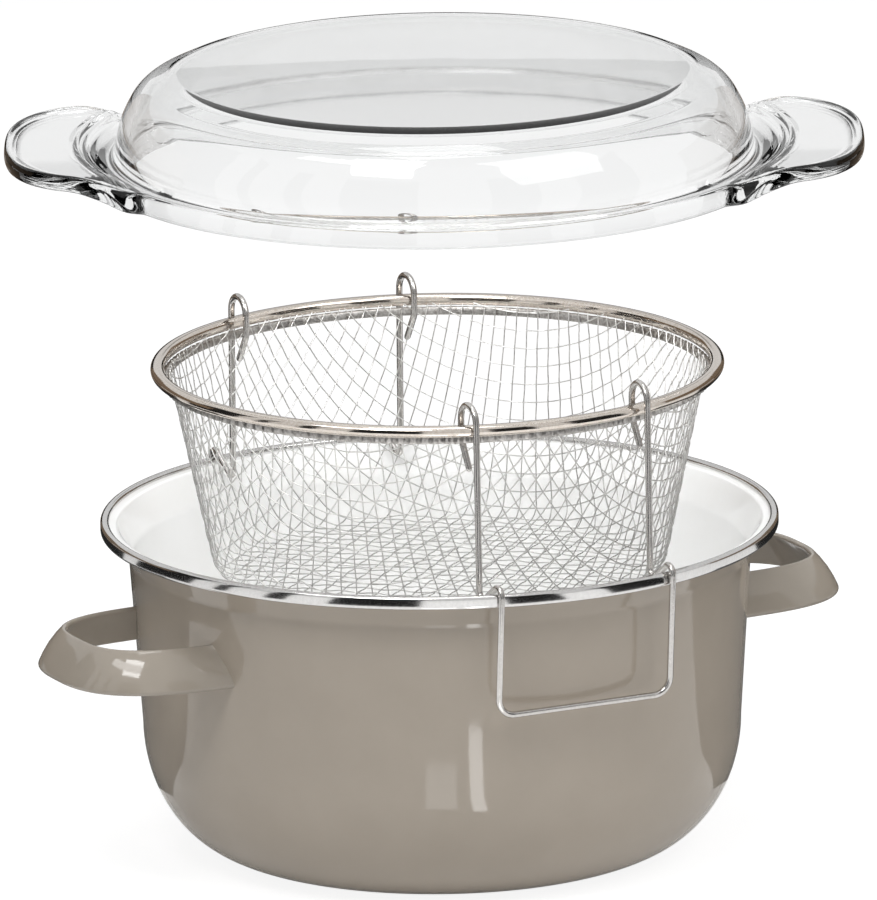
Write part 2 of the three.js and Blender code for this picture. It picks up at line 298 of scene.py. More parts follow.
def plated_finish(name, low, high, roughness):
    """Bright plated metal with fine rubbing marks in its colour and gloss."""
    material, nodes, links, shader, place = blank_finish(name)
    marks = add_noise(nodes, links, place, *RUB)
    colour = add_ramp(nodes, links, marks.outputs["Fac"], low, high)
    links.new(colour.outputs["Color"], shader.inputs["Base Color"])
    shader.inputs["Metallic"].default_value = 1
    gloss = nodes.new("ShaderNodeMapRange")
    gloss.inputs["To Min"].default_value = roughness * RUB_GLOSS[0]
    gloss.inputs["To Max"].default_value = roughness * RUB_GLOSS[1]
    links.new(marks.outputs["Fac"], gloss.inputs["Value"])
    links.new(gloss.outputs["Result"], shader.inputs["Roughness"])
    add_bump(nodes, links, marks.outputs["Fac"], shader, *RUB_BUMP)
    return material


bright_band = plated_finish("bright_band", (0.66, 0.65, 0.64), (0.73, 0.72, 0.71), 0.1)
# The ring's warm brown tint is painted reflection, standing in for the brown room that the chrome mirrors
bright_ring = plated_finish("bright_ring", (0.68, 0.61, 0.54), (0.76, 0.7, 0.64), 0.09)
tinned_clamp = plated_finish("tinned_clamp", (0.36, 0.34, 0.32), (0.62, 0.6, 0.58), 0.3)
tinned_wire = plated_finish("tinned_wire", (0.8, 0.79, 0.77), (0.92, 0.91, 0.89), 0.3)
plated_wire = plated_finish("plated_wire", (0.56, 0.54, 0.52), (0.64, 0.62, 0.6), 0.16)
print("metals:", [metal.name for metal in (bright_band, bright_ring, tinned_clamp, tinned_wire, plated_wire)])

# %% [markdown]
# ## Glass
# The lid's glass is clear, with a faint waviness from its mould that bends what is seen through it.

# %% Glass
WAVE = (25, 1)
WAVE_BUMP = (0.04, 0.0006)
GLASS_COLOUR = (0.9, 0.905, 0.905, 1)
GLASS_ROUGHNESS = 0.02
GLASS_INDEX = 1.48


def glass_finish(name):
    """Clear pressed glass, faintly wavy from its mould."""
    material, nodes, links, shader, place = blank_finish(name)
    shader.inputs["Base Color"].default_value = GLASS_COLOUR
    shader.inputs["Roughness"].default_value = GLASS_ROUGHNESS
    shader.inputs["IOR"].default_value = GLASS_INDEX
    shader.inputs["Transmission Weight"].default_value = 1
    wave = add_noise(nodes, links, place, *WAVE)
    add_bump(nodes, links, wave.outputs["Fac"], shader, *WAVE_BUMP)
    return material


lid_glass = glass_finish("lid_glass")
print("finishes:", len(bpy.data.materials))

# %% [markdown]
# ## The pot
# The pot is one pressed sheet, enamelled grey outside and white inside. A turned profile makes both faces of
# the sheet at once: out along its outside to the edge, and back along its inside.

# %% Pot body
POT_HEIGHT = 134.5
SHEET = 1.6
FLOOR_SHEET = 2.2
WALL_FOOT = 119.3
WALL_TOP = 123.9
LEDGE_DROP = 14.5
WALL_TOP_HEIGHT = POT_HEIGHT - LEDGE_DROP
CORNER_REACH = 40.9
CORNER_RISE = 52
CORNER_STEPS = 28
BASE_STEPS = 12
LEDGE_BEND = 7
EDGE_BEND = 1.4
EDGE_INSET = 2
BAND_RADIUS = 135
BAND_WIDTH = 3.5
BAND_HEIGHT = 5.2
EDGE_MIDDLE = POT_HEIGHT - BAND_HEIGHT / 2


def pot_profile(inset, floor, edge):
    """Flat base, a quarter ellipse, the tapered wall, a curved ledge and the flat edge inside the band."""
    angle = np.linspace(0, math.pi / 2, CORNER_STEPS)
    radius = WALL_FOOT - CORNER_REACH + (CORNER_REACH - inset) * np.sin(angle)
    height = floor + (CORNER_RISE - floor) * (1 - np.cos(angle))
    base_radius = np.linspace(0, WALL_FOOT - CORNER_REACH, BASE_STEPS)[:-1]
    base = np.stack([base_radius, np.full_like(base_radius, floor)], 1)
    wall = rounded([
        ((WALL_FOOT - inset, CORNER_RISE), 0),
        ((WALL_TOP - inset, WALL_TOP_HEIGHT), LEDGE_BEND),
        ((BAND_RADIUS - BAND_WIDTH - SHEET - inset, edge), EDGE_BEND),
        ((BAND_RADIUS - EDGE_INSET, edge), 0),
    ])
    return np.concatenate([base, np.stack([radius, height], 1), wall[1:]])


outside = pot_profile(0, 0, EDGE_MIDDLE - SHEET / 2)
inside = pot_profile(SHEET, FLOOR_SHEET, EDGE_MIDDLE + SHEET / 2)
pot_points, pot_line = turned(np.concatenate([outside, inside[::-1]]))
pot = make_piece("enamel_pot", pot_points, grid_faces(ROUND_SIDES, len(pot_line), True, False),
                 "pot", ["pot_body"], grey_enamel)

# %% [markdown]
# ## The white lining
# A number stored at each point of the mesh says which face of the sheet it is on, so one material shows both
# coats. A point belongs to the nearer of the two profiles at its height.

# %% Lining
def mark_lining(piece):
    """Store 1 on the points of the sheet's inner face and 0 on its outer face."""
    count = len(piece.data.vertices)
    spots = np.empty(count * 3)
    piece.data.vertices.foreach_get("co", spots)
    spots = spots.reshape(-1, 3) / MM
    radius = np.hypot(spots[:, 0], spots[:, 1])
    inner_radius = np.interp(spots[:, 2], inside[:, 1], inside[:, 0])
    outer_radius = np.interp(spots[:, 2], outside[:, 1], outside[:, 0])
    lining = (np.abs(radius - inner_radius) < np.abs(radius - outer_radius)) | (spots[:, 2] > EDGE_MIDDLE)
    lining |= (radius < WALL_FOOT - CORNER_REACH) & (spots[:, 2] > FLOOR_SHEET / 2)
    piece.data.attributes.new("lining", "FLOAT", "POINT").data.foreach_set("value", lining.astype(float))
    print("lining points:", int(lining.sum()), "of", count)


mark_lining(pot)

# %% [markdown]
# ## The rolled band
# The band is a ring that closes over the pot's edge. Its outer face is upright with rounded edges, so that it
# mirrors the room in bright and dark dashes.

# %% Rolled band
BAND_CORNER = 1.3
BAND_INNER_CORNER = 1.2
BAND_LOW_CORNER = 0.7
BAND_TURN_UP = 0.8
SLOT_INSET = 1.8
SLOT_GAP = 0.1

band_inner = BAND_RADIUS - BAND_WIDTH
band_low = POT_HEIGHT - BAND_HEIGHT
slot_low = EDGE_MIDDLE - SHEET / 2 - SLOT_GAP
slot_high = EDGE_MIDDLE + SHEET / 2 + SLOT_GAP
band_points, band_line = turned(rounded([
    ((band_inner, band_low + BAND_TURN_UP), 0),
    ((band_inner, band_low), BAND_LOW_CORNER),
    ((BAND_RADIUS, band_low), BAND_CORNER),
    ((BAND_RADIUS, POT_HEIGHT), BAND_CORNER),
    ((band_inner, POT_HEIGHT), BAND_INNER_CORNER),
    ((band_inner, slot_high), 0),
    ((BAND_RADIUS - SLOT_INSET, slot_high), 0),
    ((BAND_RADIUS - SLOT_INSET, slot_low), 0),
    ((band_inner, slot_low), 0),
], degrees=14))
make_piece("rolled_rim_band", band_points, grid_faces(ROUND_SIDES, len(band_line), True, True),
           "pot", ["pot_rim_band"], bright_band)

# %% [markdown]
# ## The strap of the loop handles
# Each loop handle is a pressed strap with its lower edge farther out than its upper edge, so its broad face
# looks up a little and mirrors the lamps. Its section is thin and slightly bowed.

# %% Section of the strap
STRAP_RISE = 15.7
STRAP_FLARE = 10.5
STRAP_THICKNESS = 2.6
STRAP_BOW = 1.1
STRAP_EDGE = 0.9


def strap_section():
    """Thin rounded bar, bowed by a parabola and leaning by its flare over its rise, as (outward, up)."""
    half = math.hypot(STRAP_RISE, STRAP_FLARE) / 2
    face = STRAP_THICKNESS / 2
    round_edge = face * STRAP_EDGE
    bar = rounded([
        ((-half, -face), round_edge),
        ((0, -face), 0),
        ((half, -face), round_edge),
        ((half, face), round_edge),
        ((half / 2, face), 0),
        ((0, face), 0),
        ((-half / 2, face), 0),
        ((-half, face), round_edge),
    ], degrees=22)
    along = bar[:, 0]
    across = bar[:, 1] + STRAP_BOW * (1 - (along / half) ** 2) - STRAP_BOW / 2
    lean = math.atan2(STRAP_FLARE, STRAP_RISE)
    outward = across * math.cos(lean) - along * math.sin(lean)
    up = along * math.cos(lean) + across * math.sin(lean)
    return np.stack([outward, up], 1)


print("points round the strap:", len(strap_section()))

# %% [markdown]
# ## The loop handles
# The strap's section is carried round a squarish loop, half a superellipse. Its two ends are drawn straight
# on until they meet the wall.

# %% Loop handles
HANDLE_HEIGHT = 95.5
ROOT_INSET = 10.5
HANDLE_ROOT = WALL_FOOT - ROOT_INSET
STAND_OUT = 40.6
HANDLE_REACH = WALL_TOP + STAND_OUT
HANDLE_HALF = 39.5
HANDLE_SQUARENESS = 2.9
HANDLE_STEPS = 110
LOOP_SAMPLES = 4001
WELD_RUN = 7


def wall_radius(height):
    """Outer radius of the tapered wall at a height."""
    return WALL_FOOT + (height - CORNER_RISE) / (WALL_TOP_HEIGHT - CORNER_RISE) * (WALL_TOP - WALL_FOOT)


def even_steps(line, count):
    """The same open line with its points spaced evenly along its length."""
    length = np.r_[0, np.cumsum(np.linalg.norm(np.diff(line, axis=0), axis=1))]
    even = np.linspace(0, length[-1], count)
    return np.stack([np.interp(even, length, column) for column in line.T], 1)


def loop_path():
    """Half a superellipse: x = root + length |cos t|^(2/n), y = half width sign(sin t) |sin t|^(2/n)."""
    turn = np.linspace(math.pi / 2, -math.pi / 2, LOOP_SAMPLES)
    power = 2 / HANDLE_SQUARENESS
    x = HANDLE_ROOT + (HANDLE_REACH - HANDLE_ROOT) * np.abs(np.cos(turn)) ** power
    y = HANDLE_HALF * np.sign(np.sin(turn)) * np.abs(np.sin(turn)) ** power
    line = np.stack([x, y], 1)
    clear = np.hypot(x, y) > wall_radius(HANDLE_HEIGHT) + WELD_RUN
    return even_steps(line[clear], HANDLE_STEPS)


def loop_handle(degrees):
    """The strap's section carried along its loop, with a last ring at each end set into the wall."""
    section = strap_section()
    path = loop_path()
    ahead = np.gradient(path, axis=0)
    ahead /= np.linalg.norm(ahead, axis=1)[:, None]
    outward = np.stack([-ahead[:, 1], ahead[:, 0]], 1)
    flat = path[:, None] + outward[:, None] * section[None, :, :1]
    up = HANDLE_HEIGHT + section[:, 1]
    into_wall = wall_radius(up) - SHEET / 2
    feet = []
    for ring, direction in ((flat[0], ahead[0]), (flat[-1], -ahead[-1])):
        along = ring @ direction
        move = -along + np.sqrt(along ** 2 - (ring ** 2).sum(1) + into_wall ** 2)
        foot = ring + move[:, None] * direction
        feet.append((foot, np.broadcast_to(foot.mean(0), foot.shape)))
    flat = np.stack([feet[0][1], feet[0][0], *flat, feet[1][0], feet[1][1]])
    height = np.broadcast_to(up, flat.shape[:2])[..., None]
    points = turn_about_z(np.concatenate([flat, height], 2), degrees)
    return points, grid_faces(len(flat), len(section), False, True)


for degrees, name, node in ((0, "right_loop_handle", "right_pot_handle"),
                            (180, "left_loop_handle", "left_pot_handle")):
    strap_points, strap_faces = loop_handle(degrees)
    make_piece(name, strap_points, strap_faces, "pot", [node], handle_enamel)

# %% [markdown]
# ## The basket's ring
# A rolled ring stiffens the basket's top. It is a rounded bar, turned round the axis.

# %% Basket ring
BASKET_RISE = 61
RING_CENTRE = POT_HEIGHT + BASKET_RISE
RING_RADIUS = 114
RING_WIDTH = 5.5
RING_HEIGHT = 4.5
RING_OUTER_ROUND = 2.2
RING_LOW_ROUND = 1.6
RING_TOP_ROUND = 1.8

ring_low = RING_CENTRE - RING_HEIGHT / 2
ring_high = RING_CENTRE + RING_HEIGHT / 2
ring_inner = RING_RADIUS - RING_WIDTH
ring_points, ring_line = turned(rounded([
    ((ring_inner, RING_CENTRE), 0),
    ((ring_inner, ring_low), RING_LOW_ROUND),
    ((RING_RADIUS, ring_low), RING_OUTER_ROUND),
    ((RING_RADIUS, ring_high), RING_OUTER_ROUND),
    ((ring_inner, ring_high), RING_TOP_ROUND),
], degrees=15))
make_piece("basket_ring", ring_points, grid_faces(ROUND_SIDES, len(ring_line), True, True),
           "basket", ["basket_rim"], bright_ring)

# %% [markdown]
# ## The clamp band
# A narrow band under the ring grips the ends of the mesh. It is carried round the axis with a small ripple,
# because the wire ends show through it as dark ticks.

# %% Clamp band
CLAMP_RADIUS = 109.6
CLAMP_GAP = 0.3
CLAMP_DEPTH = 3
CLAMP_HIGH = RING_CENTRE - RING_HEIGHT / 2 - CLAMP_GAP
CLAMP_LOW = CLAMP_HIGH - CLAMP_DEPTH
CLAMP_SEAM = 0.6
CLAMP_INNER_ROUND = 0.3
CLAMP_LOW_ROUND = 0.7
CLAMP_TOP_ROUND = 0.4
CLAMP_SIDES = 1152
CLAMP_TICKS = 144
TICK_DEPTH = 0.0022
OUTER_LAYER = 1
MESH_TOP = 107.5
MESH_SLOPE = 0.211


def mesh_radius(height):
    """Outer radius of the mesh wall at a height."""
    return MESH_TOP - MESH_SLOPE * (RING_CENTRE - height)


clamp_inner = mesh_radius(CLAMP_LOW) + CLAMP_GAP
clamp_points, clamp_line = turned(rounded([
    ((clamp_inner, CLAMP_LOW + CLAMP_SEAM), 0),
    ((clamp_inner, CLAMP_LOW), CLAMP_INNER_ROUND),
    ((CLAMP_RADIUS, CLAMP_LOW), CLAMP_LOW_ROUND),
    ((CLAMP_RADIUS, CLAMP_HIGH), CLAMP_TOP_ROUND),
    ((mesh_radius(CLAMP_HIGH) + CLAMP_GAP, CLAMP_HIGH), CLAMP_TOP_ROUND),
], degrees=25), CLAMP_SIDES)
tick_angle = np.linspace(0, 2 * math.pi, CLAMP_SIDES, endpoint=False)
ripple = 1 + TICK_DEPTH * np.sin(CLAMP_TICKS * tick_angle)
outer_face = clamp_line[:, 0] > CLAMP_RADIUS - OUTER_LAYER
clamp_points[:, outer_face, :2] *= (ripple[:, None, None] - TICK_DEPTH)
make_piece("mesh_clamp", clamp_points, grid_faces(CLAMP_SIDES, len(clamp_line), True, True),
           "basket", ["mesh_clamp_band"], tinned_clamp)

# %% [markdown]
# ## The shape of the basket
# The basket is one square-woven sheet pressed into a cup. A point of the flat sheet keeps its direction and
# its distance from the middle, measured along the cup's profile. That bends straight wires into the deep
# curves that show on the wall.

# %% Pressed cup
MESH_DEPTH = 84
MESH_FLOOR = RING_CENTRE - MESH_DEPTH
MESH_CORNER = 10
MESH_TUCK = 0.6
MESH_END = RING_CENTRE - MESH_TUCK
NEAREST = 1e-6

cup_profile = rounded([
    ((0, MESH_FLOOR), 0),
    ((mesh_radius(MESH_FLOOR), MESH_FLOOR), MESH_CORNER),
    ((mesh_radius(MESH_END), MESH_END), 0),
], degrees=3)
cup_length = np.r_[0, np.cumsum(np.linalg.norm(np.diff(cup_profile, axis=0), axis=1))]
SHEET_RADIUS = cup_length[-1]


def press(across, along, lift):
    """Press the flat sheet: distance from its middle runs along the cup's profile, and lift stands off it."""
    away = np.hypot(across, along)
    direction = np.stack([across, along], -1) / np.maximum(away, NEAREST)[..., None]
    slope = np.gradient(cup_profile, cup_length, axis=0)
    slope /= np.linalg.norm(slope, axis=1)[:, None]
    radius = np.interp(away, cup_length, cup_profile[:, 0]) + lift * np.interp(away, cup_length, slope[:, 1])
    height = np.interp(away, cup_length, cup_profile[:, 1]) - lift * np.interp(away, cup_length, slope[:, 0])
    return np.concatenate([direction * radius[..., None], height[..., None]], -1)


print("radius of the flat sheet:", round(float(SHEET_RADIUS), 1), "mm")

# %% [markdown]
# ## Painted shade on the tin towards the floor
# The wires are darkest at the basket's floor, deep in the pot's shade, and that shade is painted: the tin's
# colour is multiplied by a share that falls towards the floor. It reads the height in Object coordinates, so
# it is the same from every side.

# %% Painted shade on the tin by height
PAINTED_SHADE_SHARE = 0.56


def shade_downwards(material, top, bottom, share):
    """Paint shade on a finish downwards: its colour is multiplied by 1 at the top and by a share at the
    bottom.
    """
    nodes = material.node_tree.nodes
    links = material.node_tree.links
    shader = nodes["Principled BSDF"]
    place = nodes.new("ShaderNodeTexCoord")
    axes = nodes.new("ShaderNodeSeparateXYZ")
    links.new(place.outputs["Object"], axes.inputs["Vector"])
    fade = nodes.new("ShaderNodeMapRange")
    fade.inputs["From Min"].default_value = bottom * MM
    fade.inputs["From Max"].default_value = top * MM
    fade.inputs["To Min"].default_value = share
    links.new(axes.outputs["Z"], fade.inputs["Value"])
    mix = nodes.new("ShaderNodeMix")
    mix.data_type = "RGBA"
    mix.blend_type = "MULTIPLY"
    mix.inputs["Factor"].default_value = 1
    links.new(shader.inputs["Base Color"].links[0].from_socket, mix.inputs["A"])
    links.new(fade.outputs["Result"], mix.inputs["B"])
    links.new(mix.outputs["Result"], shader.inputs["Base Color"])


# Painted shade: the wires darken towards the basket's floor, where the pot shades them
shade_downwards(tinned_wire, RING_CENTRE, MESH_FLOOR, PAINTED_SHADE_SHARE)
print("share of the tin's colour at the floor:", PAINTED_SHADE_SHARE)

# %% [markdown]
# ## The woven wires
# Each family of wires is one array: wires by steps by the sides of the wire. A sine wave takes each wire over
# one wire of the other family and under the next.

# %% Woven wires
PITCH = 7.2
WOVEN_RADIUS = 0.26
WEAVE_TURN = 45
MESH_INSET = 0.85
WIRE_MARGIN = 2
WEAVE_STEPS = 250
WIRE_SIDES = 5
ALL_SMOOTH = 180


def wire_family(name, swap):
    """Wires at one pitch, each weaving over and under by a sine wave, carried as five-sided tubes."""
    count = int(SHEET_RADIUS / PITCH - 0.5)
    offset = (np.arange(-count, count + 1) + 0.5) * PITCH
    offset = offset[np.abs(offset) < SHEET_RADIUS - WIRE_MARGIN][:, None]
    half = np.sqrt(SHEET_RADIUS ** 2 - offset ** 2)
    along = np.linspace(-1, 1, WEAVE_STEPS)[None] * half
    over = 1 if swap else -1
    phase = np.sign(np.cos(math.pi * (offset / PITCH - 0.5)))
    wave = over * WOVEN_RADIUS * np.sin(math.pi * along / PITCH) * phase
    flat = (np.broadcast_to(offset, along.shape), along)
    if swap:
        flat = flat[::-1]
    middle = press(*flat, wave - MESH_INSET)
    ahead = np.gradient(middle, axis=1)
    ahead /= np.linalg.norm(ahead, axis=2)[..., None]
    out = press(*flat, wave + 1) - press(*flat, wave)
    out -= (out * ahead).sum(2)[..., None] * ahead
    out /= np.linalg.norm(out, axis=2)[..., None]
    side = np.cross(ahead, out)
    angle = np.linspace(0, 2 * math.pi, WIRE_SIDES, endpoint=False)
    ring = out[:, :, None] * np.cos(angle)[:, None] + side[:, :, None] * np.sin(angle)[:, None]
    points = middle[:, :, None] + WOVEN_RADIUS * ring
    points[:, [0, -1]] = points[:, [0, -1]].mean(2, keepdims=True)
    faces = grid_faces(WEAVE_STEPS, WIRE_SIDES, False, True)
    wires = len(offset)
    faces = (faces[None] + np.arange(wires)[:, None, None] * WEAVE_STEPS * WIRE_SIDES).reshape(-1, 4)
    points = turn_about_z(points.reshape(-1, 3), WEAVE_TURN)
    print(name, "has", wires, "wires")
    make_piece(name, points, faces, "basket", ["basket_mesh"], tinned_wire, sharp=ALL_SMOOTH)


wire_family("mesh_wires_across", False)
wire_family("mesh_wires_along", True)

# %% [markdown]
# ## The path of a wire handle
# Each wire handle is one bent wire. Its path is drawn on one side as straight runs with rounded corners: the
# tip under the ring, the eye, the long leg, the hook over the pot's band and the grip. The other side mirrors
# it.

# %% Path of a wire handle
WIRE_RADIUS = 1.3
LEG_OFFSET = 37.5
SEAT_GAP = 0.3
SEAT = WIRE_RADIUS + SEAT_GAP
TIP_LEAN = math.radians(32)
TIP_LENGTH = 12.4
TIP_BEND = 4
HOOK_CLEAR = 3.1
LEG_CLEAR = 1.84
EYE_RISE = 10.2
EYE_FULLNESS = 0.999
VEE_OUT = 1
VEE_DROP = 7.4
VEE_BEND = 3
CREST_CLEAR = 0.94
CREST_BEND = 3.5
GRIP_LEAN = 4.7
GRIP_DROP = 49.5
GRIP_BEND = 7


def chord(radius):
    """Distance from the axis at which a circle crosses the plane of one leg."""
    return math.sqrt(radius ** 2 - LEG_OFFSET ** 2)


hook_reach = chord(ring_inner) - WIRE_RADIUS - HOOK_CLEAR
leg_reach = chord(RING_RADIUS) + WIRE_RADIUS + LEG_CLEAR
seat_reach = chord(clamp_inner)
tip_start = CLAMP_LOW - (SEAT - (seat_reach - hook_reach) * math.cos(TIP_LEAN)) / math.sin(TIP_LEAN)
eye_top = RING_CENTRE + EYE_RISE
eye_bend = (leg_reach - hook_reach) / 2 * EYE_FULLNESS
vee = np.array([leg_reach + VEE_OUT, POT_HEIGHT - VEE_DROP])
band_corner = np.array([chord(band_inner), POT_HEIGHT])
climb = math.atan2(*(band_corner - vee)[::-1]) + math.asin(SEAT / np.linalg.norm(band_corner - vee))
crest_reach = chord(BAND_RADIUS) + SEAT + CREST_CLEAR
crest = (crest_reach, vee[1] + (crest_reach - vee[0]) * math.tan(climb))
stations = [
    ((hook_reach + TIP_LENGTH * math.sin(TIP_LEAN), tip_start - TIP_LENGTH * math.cos(TIP_LEAN)), 0),
    ((hook_reach, tip_start), TIP_BEND),
    ((hook_reach, eye_top), eye_bend),
    ((leg_reach, eye_top), eye_bend),
    (tuple(vee), VEE_BEND),
    (crest, CREST_BEND),
    ((crest_reach - GRIP_LEAN, POT_HEIGHT - GRIP_DROP), GRIP_BEND),
]


def wire_path():
    """Both sides of the handle as (sideways, -outward, up) corners with their bend radii."""
    right = [((LEG_OFFSET, -spot[0], spot[1]), radius) for spot, radius in stations]
    left = [((-LEG_OFFSET, -spot[0], spot[1]), radius) for spot, radius in stations]
    return rounded(right + left[::-1], degrees=9)


print("points along the wire:", len(wire_path()))

# %% [markdown]
# ## The wire handles
# A round wire is a circle carried along its path. Each ring is turned from the last one no farther than the
# path bends, so the surface doesn't twist.

# %% Wire handles
TUBE_SIDES = 14
END_BULGE = np.array([0.0, 0.5, 0.87, 1.0])
ANY_SIDE = (0.31, 0.5, 0.81)


def tube(path, radius):
    """Carry a circle along a path: each ring is turned from the last one just as far as the path bends."""
    path = np.asarray(path, float)
    ahead = np.gradient(path, axis=0)
    ahead /= np.linalg.norm(ahead, axis=1)[:, None]
    side = np.cross(ahead[0], ANY_SIDE)
    sides_along = []
    for direction in ahead:
        side = side - (side @ direction) * direction
        side /= np.linalg.norm(side)
        sides_along.append(side)
    side = np.array(sides_along)
    other = np.cross(ahead, side)
    # Each end is rounded by a full ring, two smaller rings and a closed tip
    first = path[0] - ahead[0] * radius * END_BULGE[::-1, None]
    last = path[-1] + ahead[-1] * radius * END_BULGE[:, None]
    path = np.concatenate([first, path[1:-1], last])
    size = np.sqrt(np.clip(1 - END_BULGE ** 2, 0, 1)) * radius
    reach = np.concatenate([size[::-1], np.full(len(side) - 2, radius), size])
    rings = len(END_BULGE)
    side = np.concatenate([np.repeat(side[:1], rings, 0), side[1:-1], np.repeat(side[-1:], rings, 0)])
    other = np.concatenate([np.repeat(other[:1], rings, 0), other[1:-1], np.repeat(other[-1:], rings, 0)])
    angle = np.linspace(0, 2 * math.pi, TUBE_SIDES, endpoint=False)[None, :, None]
    ring = side[:, None] * np.cos(angle) + other[:, None] * np.sin(angle)
    points = path[:, None] + ring * reach[:, None, None]
    return points, grid_faces(len(path), TUBE_SIDES, False, True)


for turn, name, node, body in ((0, "front_bent_wire", "front_wire_handle", "front_handle"),
                               (180, "rear_bent_wire", "rear_wire_handle", "rear_handle")):
    wire_points, wire_faces = tube(wire_path(), WIRE_RADIUS)
    make_piece(name, turn_about_z(wire_points, turn), wire_faces,
               body, [node], plated_wire, sharp=ALL_SMOOTH)

# %% [markdown]
# ## The lid's outline
# Seen from above, the lid's edge is the flange's circle, and on two sides the squarish oval of a tab. Where a
# spoke from the middle meets the oval is found by halving an interval, for all spokes at once.

# %% Lid outline
FLANGE = 133.4
TAB_REACH = 170.4
TAB_HALF = 66
TAB_ROOT = 118
TAB_SQUARENESS = 2.7
TAB_BLEND = 1.6
TAB_FAR = 200.0
TAB_HALVINGS = 40
LID_SIDES = 520
OUTLINE_SAMPLES = 7201


def tab_outline(angle):
    """Distance to the lid's edge: the flange's circle, or the squarish oval of a tab where it is farther."""
    along = np.abs(np.cos(angle))
    across = np.abs(np.sin(angle))
    low = np.full_like(angle, TAB_ROOT)
    high = np.full_like(angle, TAB_FAR)
    for _ in range(TAB_HALVINGS):
        middle = (low + high) / 2
        oval = (np.maximum(along * middle - TAB_ROOT, 0) / (TAB_REACH - TAB_ROOT)) ** TAB_SQUARENESS
        oval += (across * middle / TAB_HALF) ** TAB_SQUARENESS
        low = np.where(oval < 1, middle, low)
        high = np.where(oval < 1, high, middle)
    return FLANGE + TAB_BLEND * np.logaddexp(0, (low - FLANGE) / TAB_BLEND)


def spoke_angles():
    """Angles of the spokes, spaced evenly along the outline so that the tabs' edges get their share."""
    angle = np.linspace(0, 2 * math.pi, OUTLINE_SAMPLES)
    edge = tab_outline(angle)
    outline = np.stack([edge * np.cos(angle), edge * np.sin(angle)], 1)
    length = np.r_[0, np.cumsum(np.linalg.norm(np.diff(outline, axis=0), axis=1))]
    even = np.linspace(0, length[-1], LID_SIDES, endpoint=False)
    return np.interp(even, length, angle)[:, None]


print("reach of the tabs:", round(float(tab_outline(spoke_angles()).max()), 1), "mm")

# %% [markdown]
# ## The lid's dome
# The dome has a flat top, a round shoulder and a steep wall. Its inner face is the same line, set in by the
# thickness of the glass.

# %% Lid dome
LID_HEIGHT = 43
GLASS = 5
FLANGE_TOP = 8.6
DOME_FOOT = 127.2
FOOT_RISE = 1.6
MIDDLE_RADIUS = 50
MIDDLE_DROP = 0.3
CREASE_RADIUS = 103.5
CREASE_DROP = 1.1
CREASE_BEND = 14
SHOULDER_RADIUS = 117.5
SHOULDER_DROP = 7.4
SHOULDER_BEND = 18
SIDE_RADIUS = 124.4
SIDE_DROP = 20
SIDE_BEND = 40


def dome():
    """Both faces of the dome from its middle to its foot, as (radius, height): a flat top with a soft crease,
    a round shoulder and a steep wall, and the same line set in by the glass along its normal."""
    over = rounded([
        ((0, LID_HEIGHT), 0),
        ((MIDDLE_RADIUS, LID_HEIGHT - MIDDLE_DROP), 0),
        ((CREASE_RADIUS, LID_HEIGHT - CREASE_DROP), CREASE_BEND),
        ((SHOULDER_RADIUS, LID_HEIGHT - SHOULDER_DROP), SHOULDER_BEND),
        ((SIDE_RADIUS, LID_HEIGHT - SIDE_DROP), SIDE_BEND),
        ((DOME_FOOT, FLANGE_TOP + FOOT_RISE), 0),
    ], degrees=2)
    along = np.gradient(over, axis=0)
    along /= np.linalg.norm(along, axis=1)[:, None]
    under = over - GLASS * np.stack([-along[:, 1], along[:, 0]], 1)
    under[0] = (0, LID_HEIGHT - GLASS)
    return over, under[::-1]


print("points over the dome:", len(dome()[0]))

# %% [markdown]
# ## The glass lid
# The lid is one pressing, so it is one closed surface on a polar grid. Every spoke of the grid runs over the
# dome, out along the flange and back under it. The tabs rise towards a raised lip, with three grooves across
# their necks.

# %% Glass lid
LID_TURN = -26
LID_RISE = 139.4
LID_BASE = POT_HEIGHT + LID_RISE
LID_SHARP = 60
FOOT_OUT = 1.4
UNDER_OUT = 0.4
TAB_LIFT = 8.4
TAB_TOP = 13.8
TAB_CLIMB = 14
TAB_EDGE_CLIMB = 25
TAB_UNDERCUT = 4
EDGE_ROUND = 1.8
EDGE_FULLNESS = 0.7
LIP_WIDTH = 4.5
LIP_RISE = 1.1
GROOVE_PITCH = 3.6
GROOVE_DEPTH = 0.3
GROOVE_COUNT = 3.2
GROOVE_EASE = 2
TOP_STEPS = 44
TIP_STEPS = 13
UNDER_STEPS = 30


def ease(value):
    """A smooth step from 0 to 1."""
    value = np.clip(value, 0, 1)
    return value * value * (3 - 2 * value)


